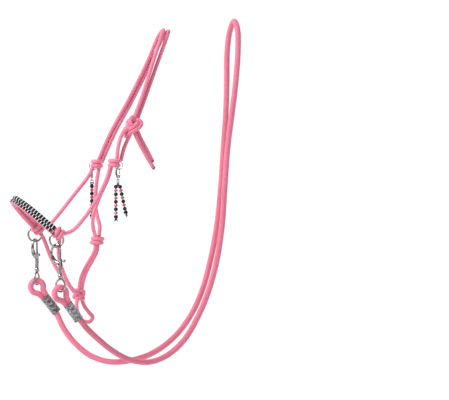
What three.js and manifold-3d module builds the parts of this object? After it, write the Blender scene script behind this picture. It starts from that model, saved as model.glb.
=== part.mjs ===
// Rope halter for a pony, with clipped rope reins and two bead charms.
// Millimetres, +Z up. The origin is where the crown rope lies on the poll.
// -X is towards the nose, -Y is the near side, where the crown is tied.

import * as THREE from 'three';
import { mergeVertices } from 'three/addons/utils/BufferGeometryUtils.js';
import Module from 'manifold-3d';

const wasm = await Module();
wasm.setup();

// ---- driving dimensions ----
const HALTER_ROPE = 8;
const REIN_ROPE = 12;
const GAP = 0.3;
const ROPE_SIDES = 8;
const SAME_POINT = 1e-4;
const SLIVER = 0.03;

const NOSE_RING_RADIUS = 14;
const NOSE_RING_WIRE = 3.8;

const SNAP_WIRE = 4.6;
const BARREL_RADIUS = 3.6;
const BORE_RADIUS = 2.35;
const BARREL_OFFSET = 9;
const BOLT_RADIUS = 1.9;
const EYE_WIRE = 3.5;
const EYE_HALF_WIDTH = 10.8;
const SNAP_TURN = 50;

const LOOP_RADIUS = 13;
const FERRULE_LENGTH = 39;
const FERRULE_WIDTH = 19.4;
const FERRULE_DEPTH = 14.4;
const FERRULE_WALL = 1;
const FERRULE_START = 26;

const CHARM_RING_RADIUS = 8.5;
const CHARM_RING_WIRE = 1.4;
const BEAD_PITCH = 7.4;
const BLACK_BEAD = 7.7;
const PINK_BEAD = 6.9;
const STRING_WIRE = 1.8;

const LACING_WALL = 1.2;
const LACING_CLEARANCE = 1;
const BAND_OFFSET = 4.3;

// ---- colours ----
const ROPE_PINK = '#f48ea9';
const REIN_PINK = '#f2849f';
const NICKEL = '#c9c9cc';
const STEEL = '#a9aaad';
const LACE_BLACK = '#17151a';
const BEAD_BLACK = '#111013';

const rad = THREE.MathUtils.degToRad;
const vec = ([x, y, z]) => new THREE.Vector3(x, y, z);

// ---- solids ----

function signedVolume(positions, indices) {
  const a = new THREE.Vector3();
  const b = new THREE.Vector3();
  const c = new THREE.Vector3();
  let sum = 0;
  for (let i = 0; i < indices.length; i += 3) {
    a.fromArray(positions, indices[i] * 3);
    b.fromArray(positions, indices[i + 1] * 3);
    c.fromArray(positions, indices[i + 2] * 3);
    sum += a.dot(b.cross(c));
  }
  return sum / 6;
}

// A closed three.js geometry as a solid, with its faces turned outwards.
function solid(geometry) {
  geometry.deleteAttribute('normal');
  geometry.deleteAttribute('uv');
  const merged = mergeVertices(geometry, SAME_POINT);
  const positions = merged.attributes.position.array;
  const indices = [];
  const all = merged.index.array;
  for (let i = 0; i < all.length; i += 3) {
    const [a, b, c] = [all[i], all[i + 1], all[i + 2]];
    if (a !== b && b !== c && c !== a) indices.push(a, b, c);
  }
  if (signedVolume(positions, indices) < 0) indices.reverse();
  return new wasm.Manifold(new wasm.Mesh({
    numProp: 3,
    vertProperties: new Float32Array(positions),
    triVerts: new Uint32Array(indices),
  }));
}

function geometryOf(body) {
  const mesh = body.simplify(SLIVER).getMesh();
  const geometry = new THREE.BufferGeometry();
  geometry.setAttribute('position', new THREE.BufferAttribute(mesh.vertProperties, 3));
  geometry.setIndex(new THREE.BufferAttribute(mesh.triVerts, 1));
  geometry.computeVertexNormals();
  return geometry;
}

const join = (...bodies) => bodies.reduce((all, body) => all.add(body));
const largest = (body) => body.decompose().sort((a, b) => b.volume() - a.volume())[0];

function circleShape(radius, sides) {
  const shape = new THREE.Shape();
  for (let i = 0; i < sides; i += 1) {
    const angle = (i / sides) * 2 * Math.PI;
    const x = radius * Math.cos(angle);
    const y = radius * Math.sin(angle);
    if (i === 0) shape.moveTo(x, y);
    else shape.lineTo(x, y);
  }
  shape.closePath();
  return shape;
}

// A round tube along a smooth curve through the points.
function tube(points, diameter, step, sides = ROPE_SIDES) {
  const path = new THREE.CatmullRomCurve3(points.map(vec));
  const steps = Math.max(3, Math.round(path.getLength() / step));
  return solid(new THREE.ExtrudeGeometry(circleShape(diameter / 2, sides), {
    steps,
    bevelEnabled: false,
    extrudePath: path,
  }));
}

const rope = (points) => tube(points, HALTER_ROPE, 2.1 * HALTER_ROPE);

// A solid turned about its own +Y, laid so that this axis points along `axis`.
function turned(profile, segments, at, axis) {
  const geometry = new THREE.LatheGeometry(profile.map(([r, y]) => new THREE.Vector2(r, y)), segments);
  const turn = new THREE.Quaternion().setFromUnitVectors(new THREE.Vector3(0, 1, 0), vec(axis).normalize());
  geometry.applyQuaternion(turn);
  geometry.translate(...at);
  return solid(geometry);
}

function ring(radius, wire, segments, sides, at, axis) {
  const geometry = new THREE.TorusGeometry(radius, wire / 2, sides, segments);
  const turn = new THREE.Quaternion().setFromUnitVectors(new THREE.Vector3(0, 0, 1), vec(axis).normalize());
  geometry.applyQuaternion(turn);
  geometry.translate(...at);
  return solid(geometry);
}

function box(size, at) {
  const geometry = new THREE.BoxGeometry(...size);
  geometry.translate(...at);
  return solid(geometry);
}

// ---- knots: rope wrapped `wraps` times round `axis` ----
const KNOTS = {
  near_cheek_knot: { at: [-125, -50, -265], axis: [0.1, 0, 1], wraps: 2, radius: 13, length: 19 },
  far_cheek_knot: { at: [-130, 50, -265], axis: [0.1, 0, 1], wraps: 2, radius: 13, length: 19 },
  tie_knot: { at: [-80, -37, -190], axis: [0.45, 0.1, 0.88], wraps: 3, radius: 16, length: 40 },
  throat_knot: { at: [-145, 0, -419], axis: [0, 0, 1], wraps: 2, radius: 14, length: 18 },
  fiador_knot: { at: [-182, 0, -526], axis: [0.25, 0, 1], wraps: 2, radius: 11.5, length: 22 },
  near_nose_knot: { at: [-242, -60, -404], axis: [-0.73, 0.2, 0.65], wraps: 2, radius: 13, length: 20 },
  far_nose_knot: { at: [-251, 58, -395], axis: [-0.73, -0.2, 0.65], wraps: 2, radius: 13, length: 20 },
};

function knotSolid({ at, axis, wraps, radius, length }, extra) {
  const bulge = length / wraps / 2;
  const outer = radius + extra;
  const half = length / 2 + extra;
  const arcSteps = 3;
  const profile = [[0, -half], [outer - bulge, -half]];
  for (let wrap = 0; wrap < wraps; wrap += 1) {
    const centre = -length / 2 + bulge * (2 * wrap + 1);
    for (let i = 1; i < arcSteps; i += 1) {
      const angle = -Math.PI / 2 + (Math.PI * i) / arcSteps;
      profile.push([outer - bulge * (1 - Math.cos(angle)), centre + bulge * Math.sin(angle)]);
    }
    if (wrap < wraps - 1) profile.push([outer - 0.75 * bulge, centre + bulge]);
  }
  profile.push([outer - bulge, half], [0, half]);
  return turned(profile, 14, at, axis);
}

// Rope strands end just short of the knots that they run into.
function strand(points, ...knotNames) {
  let body = rope(points);
  for (const name of knotNames) body = body.subtract(knotSolid(KNOTS[name], GAP));
  return largest(body);
}

// ---- rope routes, each from the middle of one knot to the middle of the next ----
const ROUTES = {
  crown_strand_front: {
    knots: ['far_cheek_knot', 'tie_knot'],
    points: [[-129, 48, -262], [-105, 38, -203], [-69, 27, -134], [-34, 17, -60], [-12, 9, -6],
      [-6, 0, 4], [-12, -9, -6], [-34, -20, -61], [-61, -30, -133], [-84, -39, -184]],
  },
  crown_strand_rear: {
    knots: ['far_cheek_knot', 'tie_knot'],
    points: [[-119.7, 46, -262], [-95.4, 36, -203], [-59.4, 27, -134], [-24, 17, -60], [-1.4, 9, -8],
      [5, 0, 2], [-1, -8, -10], [-24, -16, -65], [-52, -25, -133], [-74, -33, -184]],
  },
  tie_loop_front: {
    knots: ['near_cheek_knot', 'tie_knot'],
    points: [[-120, -52, -260], [-117, -49, -236], [-110, -45, -214], [-101, -42, -200], [-86, -39, -194]],
  },
  tie_loop_rear: {
    knots: ['near_cheek_knot', 'tie_knot'],
    points: [[-110, -46, -260], [-105, -44, -242], [-98, -41, -226], [-86, -38, -204]],
  },
  crown_tail_front: {
    knots: ['tie_knot'],
    points: [[-84, -40, -196], [-76, -44, -215], [-66, -46, -235], [-53, -48, -258], [-41, -49, -277]],
  },
  crown_tail_rear: {
    knots: ['tie_knot'],
    points: [[-74, -34, -194], [-66, -37, -215], [-56, -39, -234], [-41, -41, -263]],
  },
  near_cheek_strand: {
    knots: ['near_cheek_knot', 'near_nose_knot'],
    points: [[-133, -53, -268], [-140, -55, -290], [-153, -57, -318], [-170, -58, -347],
      [-190, -59, -374], [-214, -60, -398], [-238, -60, -406]],
  },
  far_cheek_strand: {
    knots: ['far_cheek_knot', 'far_nose_knot'],
    points: [[-136, 50, -268], [-147, 52, -290], [-163, 54, -311], [-184, 56, -337],
      [-208, 58, -367], [-228, 58, -388], [-247, 58, -396]],
  },
  near_throat_strand: {
    knots: ['near_cheek_knot', 'throat_knot'],
    points: [[-124, -45, -268], [-132, -43, -296], [-144, -38, -320], [-155, -32, -345],
      [-160, -24, -368], [-159, -16, -388], [-151, -7, -410]],
  },
  far_throat_strand: {
    knots: ['far_cheek_knot', 'throat_knot'],
    points: [[-126, 45, -268], [-132, 43, -296], [-136, 38, -320], [-139, 31, -345],
      [-138, 23, -370], [-135, 15, -390], [-139, 7, -410]],
  },
  fiador_strand_near: {
    knots: ['throat_knot', 'fiador_knot'],
    points: [[-149, -5, -422], [-152, -5, -440], [-162, -5, -458], [-172, -5, -475],
      [-180, -5, -494], [-184, -5, -518]],
  },
  fiador_strand_far: {
    knots: ['throat_knot', 'fiador_knot'],
    points: [[-142, 5, -422], [-144, 5, -440], [-153, 5, -458], [-163, 5, -475],
      [-171, 5, -494], [-176, 5, -518]],
  },
  lead_loop: {
    knots: ['fiador_knot'],
    points: [[-177, 4, -530], [-171, 4, -548], [-161, 3, -562], [-154, 1, -571], [-160, 0, -580],
      [-173, -1, -579], [-183, -3, -567], [-189, -4, -550], [-187, -4, -531]],
  },
  near_chin_strand: {
    knots: ['near_nose_knot', 'fiador_knot'],
    points: [[-238, -56, -408], [-239, -51, -426], [-238, -45, -442], [-233, -36, -458],
      [-225, -28, -476], [-214, -19, -496], [-201, -11, -514], [-186, -4, -528]],
  },
  far_chin_strand: {
    knots: ['far_nose_knot', 'fiador_knot'],
    points: [[-249, 56, -400], [-242, 50, -414], [-238, 43, -428], [-235, 36, -442],
      [-228, 28, -462], [-219, 20, -481], [-208, 13, -499], [-186, 4, -524]],
  },
};

// ---- noseband: two ropes side by side with a laced outer face ----
const BAND_ROUTE = [[-243, -59, -405], [-262, -53, -389], [-281, -44, -371], [-299, -30, -354],
  [-311, -15, -343], [-316, 0, -338], [-312, 15, -341], [-300, 31, -351], [-284, 43, -366],
  [-268, 52, -380], [-250, 58, -396]];
const BAND_ACROSS = new THREE.Vector3(0.68, 0, 0.73).normalize();

function bandRope(side) {
  const shift = BAND_ACROSS.clone().multiplyScalar(side * BAND_OFFSET);
  const points = BAND_ROUTE.map(([x, y, z]) => [x + shift.x, y + shift.y, z + shift.z]);
  return strand(points, 'near_nose_knot', 'far_nose_knot');
}

// Half of a rounded slot outline, open towards the nose.
function lacingOutline() {
  const arc = (radius, from, to, shift) => {
    const points = [];
    for (let i = 0; i <= 3; i += 1) {
      const angle = rad(from + ((to - from) * i) / 3);
      points.push(new THREE.Vector2(shift + radius * Math.cos(angle), radius * Math.sin(angle)));
    }
    return points;
  };
  const inner = HALTER_ROPE / 2 + LACING_CLEARANCE;
  const outer = inner + LACING_WALL;
  return [
    ...arc(outer, 0, 90, BAND_OFFSET),
    ...arc(outer, 90, 180, -BAND_OFFSET),
    ...arc(inner, 180, 90, -BAND_OFFSET),
    ...arc(inner, 90, 0, BAND_OFFSET),
  ];
}

function lacing() {
  const path = new THREE.CatmullRomCurve3(BAND_ROUTE.map(vec));
  const outline = lacingOutline();
  const stations = 16;
  const [start, end] = [0.09, 0.92];
  const positions = [];
  for (let i = 0; i <= stations; i += 1) {
    const u = start + ((end - start) * i) / stations;
    const centre = path.getPointAt(u);
    const out = new THREE.Vector3().crossVectors(BAND_ACROSS, path.getTangentAt(u)).normalize();
    const across = new THREE.Vector3().crossVectors(path.getTangentAt(u), out).normalize();
    for (const { x, y } of outline) {
      const point = centre.clone().addScaledVector(across, x).addScaledVector(out, y);
      positions.push(...point.toArray());
    }
  }
  const count = outline.length;
  const indices = [];
  for (let i = 0; i < stations; i += 1) {
    for (let k = 0; k < count; k += 1) {
      const a = i * count + k;
      const b = i * count + ((k + 1) % count);
      indices.push(a, b, b + count, a, b + count, a + count);
    }
  }
  const last = stations * count;
  for (const [a, b, c] of THREE.ShapeUtils.triangulateShape(outline, [])) {
    indices.push(a, c, b, last + a, last + b, last + c);
  }
  const geometry = new THREE.BufferGeometry();
  geometry.setAttribute('position', new THREE.Float32BufferAttribute(positions, 3));
  geometry.setIndex(indices);
  return solid(geometry);
}

// ---- the two sides of the bit line: nose ring, snap, rein loop ----
// `hook` is the middle of the ring's wire where the snap hangs.
const SIDES = {
  near: { hook: [-248, -66, -430], snapTurn: -SNAP_TURN, loopTurn: 10 },
  far: { hook: [-255, 64, -421], snapTurn: SNAP_TURN, loopTurn: -10 },
};
const HOOK_ROUTE = [[6.2, 0, -32], [-1.5, 0, -29], [-8.5, 0, -22], [-11.8, 0, -12.5], [-10, 0, -3],
  [-4.8, 0, 3.4], [1.2, 0, 4.9], [6.6, 0, 2.8], [9, 0, -2.2]];
const BARREL_TOP = -23;
const BORE_FLOOR = -51.5;
const COLLAR_TOP = -53;
const CHAMBER_TOP = -55;
const COLLAR_BOTTOM = -60.5;
const STUD_HEIGHT = -27;
const STUD_TRAVEL = 8;
const BOLT_TOP = -2.7;
const BOLT_BOTTOM = -33;
const EYE_CENTRE = -76.5;
const EYE_WIRE_HEIGHT = -87;
const EYE_WIRE_SIDES = 6;

const ringCentre = (side) => [side.hook[0], side.hook[1], side.hook[2] + NOSE_RING_RADIUS];

function noseRing(side, extra) {
  return ring(NOSE_RING_RADIUS, NOSE_RING_WIRE + 2 * extra, 20, 6, ringCentre(side), [0, 1, 0]);
}

function snapBody() {
  const barrel = turned([
    [0, BORE_FLOOR], [BORE_RADIUS, BORE_FLOOR], [BORE_RADIUS, BARREL_TOP], [BARREL_RADIUS, BARREL_TOP],
    [BARREL_RADIUS, COLLAR_TOP], [4.6, COLLAR_TOP - 1.5], [4.6, COLLAR_BOTTOM], [1.9, COLLAR_BOTTOM],
    [1.9, -58.5], [2.9, -58.5], [2.9, CHAMBER_TOP], [0, CHAMBER_TOP],
  ], 14, [BARREL_OFFSET, 0, 0], [0, 0, 1]);
  const bore = turned([[0, BORE_FLOOR], [BORE_RADIUS, BORE_FLOOR], [BORE_RADIUS, BARREL_TOP + 1],
    [0, BARREL_TOP + 1]], 14, [BARREL_OFFSET, 0, 0], [0, 0, 1]);
  const slotTop = STUD_HEIGHT + 2;
  const slotBottom = STUD_HEIGHT - STUD_TRAVEL - 2;
  const slot = box([6, 2.9, slotTop - slotBottom], [BARREL_OFFSET + 4.4, 0, (slotTop + slotBottom) / 2]);
  return join(barrel, tube(HOOK_ROUTE, SNAP_WIRE, 6)).subtract(bore).subtract(slot);
}

function snapBolt() {
  const rod = turned([[0, BOLT_BOTTOM], [BOLT_RADIUS, BOLT_BOTTOM], [BOLT_RADIUS, BOLT_TOP - 0.8],
    [BOLT_RADIUS - 0.7, BOLT_TOP], [0, BOLT_TOP]], 12, [BARREL_OFFSET, 0, 0], [0, 0, 1]);
  const stem = turned([[0, 0], [1.05, 0], [1.05, 6], [2.3, 6.4], [2.3, 8.2], [1.4, 8.9], [0, 8.9]],
    10, [BARREL_OFFSET, 0, STUD_HEIGHT], [1, 0, 0]);
  return join(rod, stem);
}

function snapSpring() {
  const turns = 4;
  const perTurn = 7;
  const wire = 0.6;
  const low = BORE_FLOOR + 0.6;
  const high = BOLT_BOTTOM - 0.6;
  const points = [];
  for (let i = 0; i <= turns * perTurn; i += 1) {
    const angle = (i / perTurn) * 2 * Math.PI;
    points.push([BARREL_OFFSET + 1.6 * Math.cos(angle), 1.6 * Math.sin(angle),
      low + ((high - low) * i) / (turns * perTurn)]);
  }
  return tube(points, wire, 1.6, 4);
}

// The swivel eye: a headed post in the collar and an oval ring below it.
function snapEye() {
  const post = turned([[0, -63.5], [2.6, -62.9], [3.1, -61.9], [1.5, -60.9], [1.5, -58.1],
    [2.5, -58.1], [2.5, -55.5], [0, -55.5]], 8, [BARREL_OFFSET, 0, 0], [0, 0, 1]);
  const oval = [];
  const steps = 18;
  const halfHeight = EYE_CENTRE - EYE_WIRE_HEIGHT;
  for (let i = 0; i < steps; i += 1) {
    const angle = (i / steps) * 2 * Math.PI;
    const lift = i < steps / 2 ? halfHeight + 3.4 : halfHeight;
    const across = BARREL_OFFSET + EYE_HALF_WIDTH * Math.cos(angle);
    oval.push(new THREE.Vector3(across, 0, EYE_CENTRE + lift * Math.sin(angle)));
  }
  const path = new THREE.CatmullRomCurve3(oval, true);
  const wire = solid(new THREE.TubeGeometry(path, 22, EYE_WIRE / 2, EYE_WIRE_SIDES, true));
  return join(post, wire);
}

function slotShape(width, depth) {
  const shape = new THREE.Shape();
  const radius = depth / 2;
  const half = width / 2 - radius;
  const points = [];
  for (const end of [1, -1]) {
    for (let degrees = 0; degrees <= 180; degrees += 30) {
      const angle = rad(degrees);
      points.push([end * (half + radius * Math.sin(angle)), -end * radius * Math.cos(angle)]);
    }
  }
  points.forEach(([x, y], i) => (i === 0 ? shape.moveTo(x, y) : shape.lineTo(x, y)));
  shape.closePath();
  return shape;
}

// Rein loop and ferrule are drawn with the loop's middle at 0 and the rein leaving along -Z.
const CORE_WIDTH = FERRULE_WIDTH - 2 * FERRULE_WALL - 0.6;
const CORE_DEPTH = FERRULE_DEPTH - 2 * FERRULE_WALL - 0.6;

function extrudedDown(shape, from, to) {
  const geometry = new THREE.ExtrudeGeometry(shape, { depth: to - from, bevelEnabled: false });
  geometry.translate(0, 0, -to);
  return solid(geometry);
}

function reinLoop() {
  const leg = 4.3;
  const throat = 6.9;
  const points = [[-throat, 0, -15]];
  for (let degrees = 210; degrees >= -30; degrees -= 24) {
    points.push([LOOP_RADIUS * Math.cos(rad(degrees)), 0, LOOP_RADIUS * Math.sin(rad(degrees))]);
  }
  points.push([throat, 0, -15]);
  const legs = [-1, 1].map((way) => tube([[way * (throat + 0.2), 0, -14.4], [way * throat, 0, -15],
    [way * (leg + 1.1), 0, -22], [way * leg, 0, -31]], REIN_ROPE, 5));
  const coreShape = slotShape(CORE_WIDTH, CORE_DEPTH);
  const core = extrudedDown(coreShape, FERRULE_START - 1, FERRULE_START + FERRULE_LENGTH);
  const wide = extrudedDown(slotShape(3 * FERRULE_WIDTH, 3 * FERRULE_DEPTH), FERRULE_START - 0.4, 60);
  return join(join(tube(points, REIN_ROPE, 8), ...legs).subtract(wide), core);
}

function ferrule() {
  const shape = slotShape(FERRULE_WIDTH, FERRULE_DEPTH);
  shape.holes.push(slotShape(FERRULE_WIDTH - 2 * FERRULE_WALL, FERRULE_DEPTH - 2 * FERRULE_WALL));
  return extrudedDown(shape, FERRULE_START, FERRULE_START + FERRULE_LENGTH);
}

const REIN_LEAN = 38;
const ROPE_ON_EYE = REIN_ROPE / 2 + EYE_WIRE / 2 + 1.2;

const onBarrel = (side) => [
  side.hook[0] + BARREL_OFFSET * Math.cos(rad(side.snapTurn)),
  side.hook[1] + BARREL_OFFSET * Math.sin(rad(side.snapTurn)),
];
const LOOP_ABOVE_HOOK = EYE_WIRE_HEIGHT + ROPE_ON_EYE - LOOP_RADIUS;
const loopCentre = (side) => [...onBarrel(side), side.hook[2] + LOOP_ABOVE_HOOK];

// ---- reins: one rope from ferrule to ferrule, over the neck ----
const REIN_ROUTE = [[-199, -65, -574], [-185, -61, -590], [-161, -55, -611], [-128, -48, -636],
  [-90, -40, -655], [-45, -32, -661], [-5, -26, -648], [32, -21, -618], [62, -17, -573], [85, -15, -523],
  [103, -14, -462], [115, -13, -390], [121, -13, -310], [127, -14, -230], [135, -18, -160],
  [141, -24, -95], [145, -25, -35], [147, -17, 7], [146, 0, 25], [143, 17, 7], [140, 25, -35],
  [139, 25, -95], [135, 19, -160], [128, 14, -230], [122, 13, -310], [113, 13, -392], [99, 13, -462],
  [82, 13, -520], [58, 13, -570], [24, 14, -613], [-20, 17, -645], [-64, 22, -660], [-108, 30, -663],
  [-147, 41, -650], [-178, 51, -623], [-197, 58, -596], [-209, 63, -569]];

// ---- bead charms ----
// `hookAngle` is where on the charm ring the clasp hangs; `turn` and `claspTurn` turn them about +Z.
const CHARMS = {
  near: { ring: [-119.5, -61, -269.5], hookAngle: 262, turn: 0, claspTurn: -55 },
  far: { ring: [-134, 62, -268.5], hookAngle: 250, turn: 70, claspTurn: 55 },
};
const LINK_RADIUS = 3.6;
const LINK_WIRE = 1.2;
const LINK_HEIGHT = -24.2;
const STRING_LOOP_HEIGHT = -28;
const BEAD_TOP = -34;
const STRINGS = {
  long: { beads: 8, root: -1.6, top: -4.4, lean: 0 },
  short: { beads: 7, root: 1.6, top: 4.4, lean: 0.22 },
};

const charmHook = ({ ring: [x, y, z], hookAngle }) => [
  x + CHARM_RING_RADIUS * Math.cos(rad(hookAngle)),
  y,
  z + CHARM_RING_RADIUS * Math.sin(rad(hookAngle)),
];

function charmRing(charm, extra) {
  return ring(CHARM_RING_RADIUS, CHARM_RING_WIRE + 2 * extra, 18, 5, charm.ring, [0, 1, 0]);
}

const LEVER_PIN = [2.2, 0, -12.4];

function claspBody() {
  const claw = tube([[-1.4, 0, -12.7], [-3.6, 0, -10], [-4.1, 0, -5], [-3.1, 0, 0.4], [0.1, 0, 2.9],
    [3.2, 0, 0.9], [3.9, 0, -2.4]], 2.2, 3, 6);
  const boss = turned([[0, -2], [3.1, -2], [3.1, 2], [0, 2]], 12, [0.6, 0, -13], [0, 1, 0]);
  const neck = turned([[0, -18.8], [1.25, -18.8], [1.25, -14.5], [0, -14.5]], 9, [0, 0, 0], [0, 0, 1]);
  const eye = ring(2.3, 1.5, 12, 5, [0, 0, -20.4], [0, 1, 0]);
  const slot = box([6, 2.2, 7], [2.9, 0, -11.2]);
  const pin = turned([[0, -1.9], [0.5, -1.9], [0.5, 1.9], [0, 1.9]], 6, LEVER_PIN, [0, 1, 0]);
  return join(join(boss.subtract(slot), claw, neck, eye), pin);
}

function claspLever() {
  const blade = tube([[2.4, 0, -12.4], [3.6, 0, -9.5], [3.8, 0, -6], [3.8, 0, -3.3]], 1.6, 2.6, 5);
  const knuckle = turned([[0, -0.8], [1.3, -0.8], [1.3, 0.8], [0, 0.8]], 10, LEVER_PIN, [0, 1, 0]);
  const tab = box([2.6, 1.4, 1.4], [5, 0, -10.4]);
  const hole = turned([[0, -3], [0.85, -3], [0.85, 3], [0, 3]], 8, LEVER_PIN, [0, 1, 0]);
  return join(blade, knuckle, tab).subtract(hole);
}

function beadProfile(beads) {
  const profile = [[0, -2]];
  for (let i = 0; i <= beads; i += 1) {
    const radius = (i === beads ? 5.2 : i % 2 ? PINK_BEAD : BLACK_BEAD) / 2;
    const middle = i * BEAD_PITCH;
    profile.push([0.55 * radius, middle - 0.84 * radius], [radius, middle - 0.3 * radius],
      [radius, middle + 0.3 * radius], [0.55 * radius, middle + 0.84 * radius]);
  }
  const end = beads * BEAD_PITCH;
  profile.push([0.9, end + 3], [2.1, end + 9], [0, end + 9]);
  return profile;
}

// A cord threaded through beads, with a loop at the top and a knotted, frayed end.
function beadString({ beads, root, top, lean }, { turn, claspTurn }) {
  const across = rad(claspTurn + 90 - turn);
  const direction = [Math.cos(across), Math.sin(across), 0];
  const loopAt = [root * direction[0], root * direction[1], STRING_LOOP_HEIGHT];
  const first = [top, 0, BEAD_TOP];
  const down = [lean, 0, -Math.sqrt(1 - lean * lean)];
  const middle = (loopAt[0] + top) / 2;
  const cordTop = [loopAt[0], loopAt[1], STRING_LOOP_HEIGHT - 2];
  const cord = tube([cordTop, [middle, loopAt[1] / 2, BEAD_TOP + 2.5], first], STRING_WIRE, 4, 5);
  return join(cord, ring(2, 1.2, 10, 5, loopAt, direction), turned(beadProfile(beads), 6, first, down));
}

// ---- assembly ----
const halter = new THREE.Group();

// A group that hangs at a point, turned about +Z and then leant about its own +Y.
function hung(at, turn, lean = 0) {
  const group = new THREE.Group();
  group.position.set(...at);
  group.rotation.set(0, rad(lean), rad(turn), 'ZYX');
  halter.add(group);
  return group;
}

function put(group, name, body, color, roughness, metalness) {
  const material = new THREE.MeshStandardMaterial({ color, roughness, metalness });
  const mesh = new THREE.Mesh(geometryOf(body), material);
  mesh.name = name;
  group.add(mesh);
}

const putRope = (name, body) => put(halter, name, body, ROPE_PINK, 0.75, 0);
const putMetal = (group, name, body, color) => put(group, name, body, color, 0.25, 1);

for (const [name, knot] of Object.entries(KNOTS)) {
  let body = knotSolid(knot, 0);
  for (const side of Object.values(SIDES)) body = body.subtract(noseRing(side, 2 * GAP));
  for (const charm of Object.values(CHARMS)) body = body.subtract(charmRing(charm, 2 * GAP));
  putRope(name, largest(body));
}

for (const [name, route] of Object.entries(ROUTES)) putRope(name, strand(route.points, ...route.knots));

putRope('noseband_rope_upper', bandRope(1));
putRope('noseband_rope_lower', bandRope(-1));
put(halter, 'noseband_lacing', lacing(), LACE_BLACK, 0.6, 0);

for (const [sideName, side] of Object.entries(SIDES)) {
  putMetal(halter, `${sideName}_nose_ring`, noseRing(side, 0), NICKEL);
  const snap = hung(side.hook, side.snapTurn);
  putMetal(snap, `${sideName}_snap_body`, snapBody(), NICKEL);
  putMetal(snap, `${sideName}_snap_bolt`, snapBolt(), NICKEL);
  putMetal(snap, `${sideName}_snap_spring`, snapSpring(), STEEL);
  putMetal(snap, `${sideName}_swivel_eye`, snapEye(), NICKEL);
  const reinEnd = hung(loopCentre(side), side.loopTurn, -REIN_LEAN);
  put(reinEnd, `${sideName}_rein_loop`, reinLoop(), REIN_PINK, 0.75, 0);
  putMetal(reinEnd, `${sideName}_rein_ferrule`, ferrule(), STEEL);
}

put(halter, 'rein_rope', tube(REIN_ROUTE, REIN_ROPE, 2 * REIN_ROPE), REIN_PINK, 0.75, 0);

for (const [sideName, charm] of Object.entries(CHARMS)) {
  putMetal(halter, `${sideName}_charm_ring`, charmRing(charm, 0), NICKEL);
  const clasp = hung(charmHook(charm), charm.claspTurn);
  putMetal(clasp, `${sideName}_charm_clasp`, claspBody(), NICKEL);
  putMetal(clasp, `${sideName}_charm_lever`, claspLever(), NICKEL);
  const link = ring(LINK_RADIUS, LINK_WIRE, 14, 5, [0, 0, LINK_HEIGHT], [1, 0, 0]);
  putMetal(clasp, `${sideName}_charm_link`, link, NICKEL);
  const beads = hung(charmHook(charm), charm.turn);
  for (const [length, string] of Object.entries(STRINGS)) {
    put(beads, `${sideName}_bead_string_${length}`, beadString(string, charm), BEAD_BLACK, 0.2, 0);
  }
}

export default halter;
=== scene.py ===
"""A pony's rope halter with clipped rope reins and two bead charms.

Tables are in millimetres and a mesh is turned to metres when it is made. +Z is up, -X is
towards the nose and -Y is the near side. The origin is where the crown rope lies on the poll.
"""

import math
import random

import bpy
import numpy as np
from mathutils import Matrix, Vector


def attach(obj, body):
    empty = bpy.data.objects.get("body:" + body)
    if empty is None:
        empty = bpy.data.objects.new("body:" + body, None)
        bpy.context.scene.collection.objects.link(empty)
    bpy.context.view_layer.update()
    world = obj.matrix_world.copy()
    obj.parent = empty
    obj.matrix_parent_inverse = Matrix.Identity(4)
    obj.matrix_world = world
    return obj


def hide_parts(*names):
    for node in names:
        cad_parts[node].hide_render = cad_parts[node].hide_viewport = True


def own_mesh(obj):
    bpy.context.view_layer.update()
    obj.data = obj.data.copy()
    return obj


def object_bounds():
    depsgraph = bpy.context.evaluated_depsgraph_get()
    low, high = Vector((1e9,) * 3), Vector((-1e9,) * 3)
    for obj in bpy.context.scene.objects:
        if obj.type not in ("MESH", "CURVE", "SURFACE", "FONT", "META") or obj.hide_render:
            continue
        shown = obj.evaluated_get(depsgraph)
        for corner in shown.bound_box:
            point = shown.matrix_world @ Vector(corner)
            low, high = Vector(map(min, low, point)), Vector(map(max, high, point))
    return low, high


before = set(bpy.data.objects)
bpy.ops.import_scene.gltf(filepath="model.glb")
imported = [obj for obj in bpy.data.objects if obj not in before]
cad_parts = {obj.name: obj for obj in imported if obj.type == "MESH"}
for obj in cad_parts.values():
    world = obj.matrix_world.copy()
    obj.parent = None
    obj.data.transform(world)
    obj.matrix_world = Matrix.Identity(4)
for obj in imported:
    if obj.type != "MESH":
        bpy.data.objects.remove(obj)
cad_low, cad_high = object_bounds()
MM = 0.001
chance = random.Random(11)

# ---- ropes and wires, in millimetres ----
HALTER_ROPE = 8
REIN_ROPE = 12
STRAND_WIDTH = 3.14  # one braided strand of rope, measured round the rope
BRAID_DEPTH = 0.055  # how deep the braid's valleys are, as a share of the diameter
MELTED_END = 3.5
MELTED = -1.0  # kept as relief where an end is melted, so that the finish can darken it
NOSE_RING_RADIUS = 14
NOSE_RING_WIRE = 3.9
SNAP_WIRE = 4.6
BARREL_OFFSET = 9
EYE_WIRE = 3.6
LOOP_RADIUS = 13
REIN_LEAN = math.radians(38)
ROPE_ON_EYE = 1.2  # room between the rein's loop and the eye's wire
CHARM_RING_RADIUS = 8.5
CHARM_RING_WIRE = 1.4
BEAD_PITCH = 7.4
BLACK_BEAD = 8.3
PINK_BEAD = 8.0
BEAD_CORD = 1.5

# ---- camera: from the front of the near side, level with the middle of the halter ----
VIEW_AZIMUTH = math.radians(-20)
VIEW_DISTANCE = 5.0
VIEW_WIDTH = 0.898
LOOK_AT = Vector((0.100, -0.069, -0.338))
SENSOR = 36


def place_camera():
    back = Vector((math.sin(VIEW_AZIMUTH), -math.cos(VIEW_AZIMUTH), 0))
    data = bpy.data.cameras.new("camera")
    data.sensor_width = SENSOR
    data.lens = SENSOR * VIEW_DISTANCE / VIEW_WIDTH
    data.clip_end = 60
    camera = bpy.data.objects.new("camera", data)
    camera.location = LOOK_AT + VIEW_DISTANCE * back
    camera.rotation_euler = back.to_track_quat("Z", "Y").to_euler()
    bpy.context.collection.objects.link(camera)
    bpy.context.scene.camera = camera


place_camera()

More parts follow.
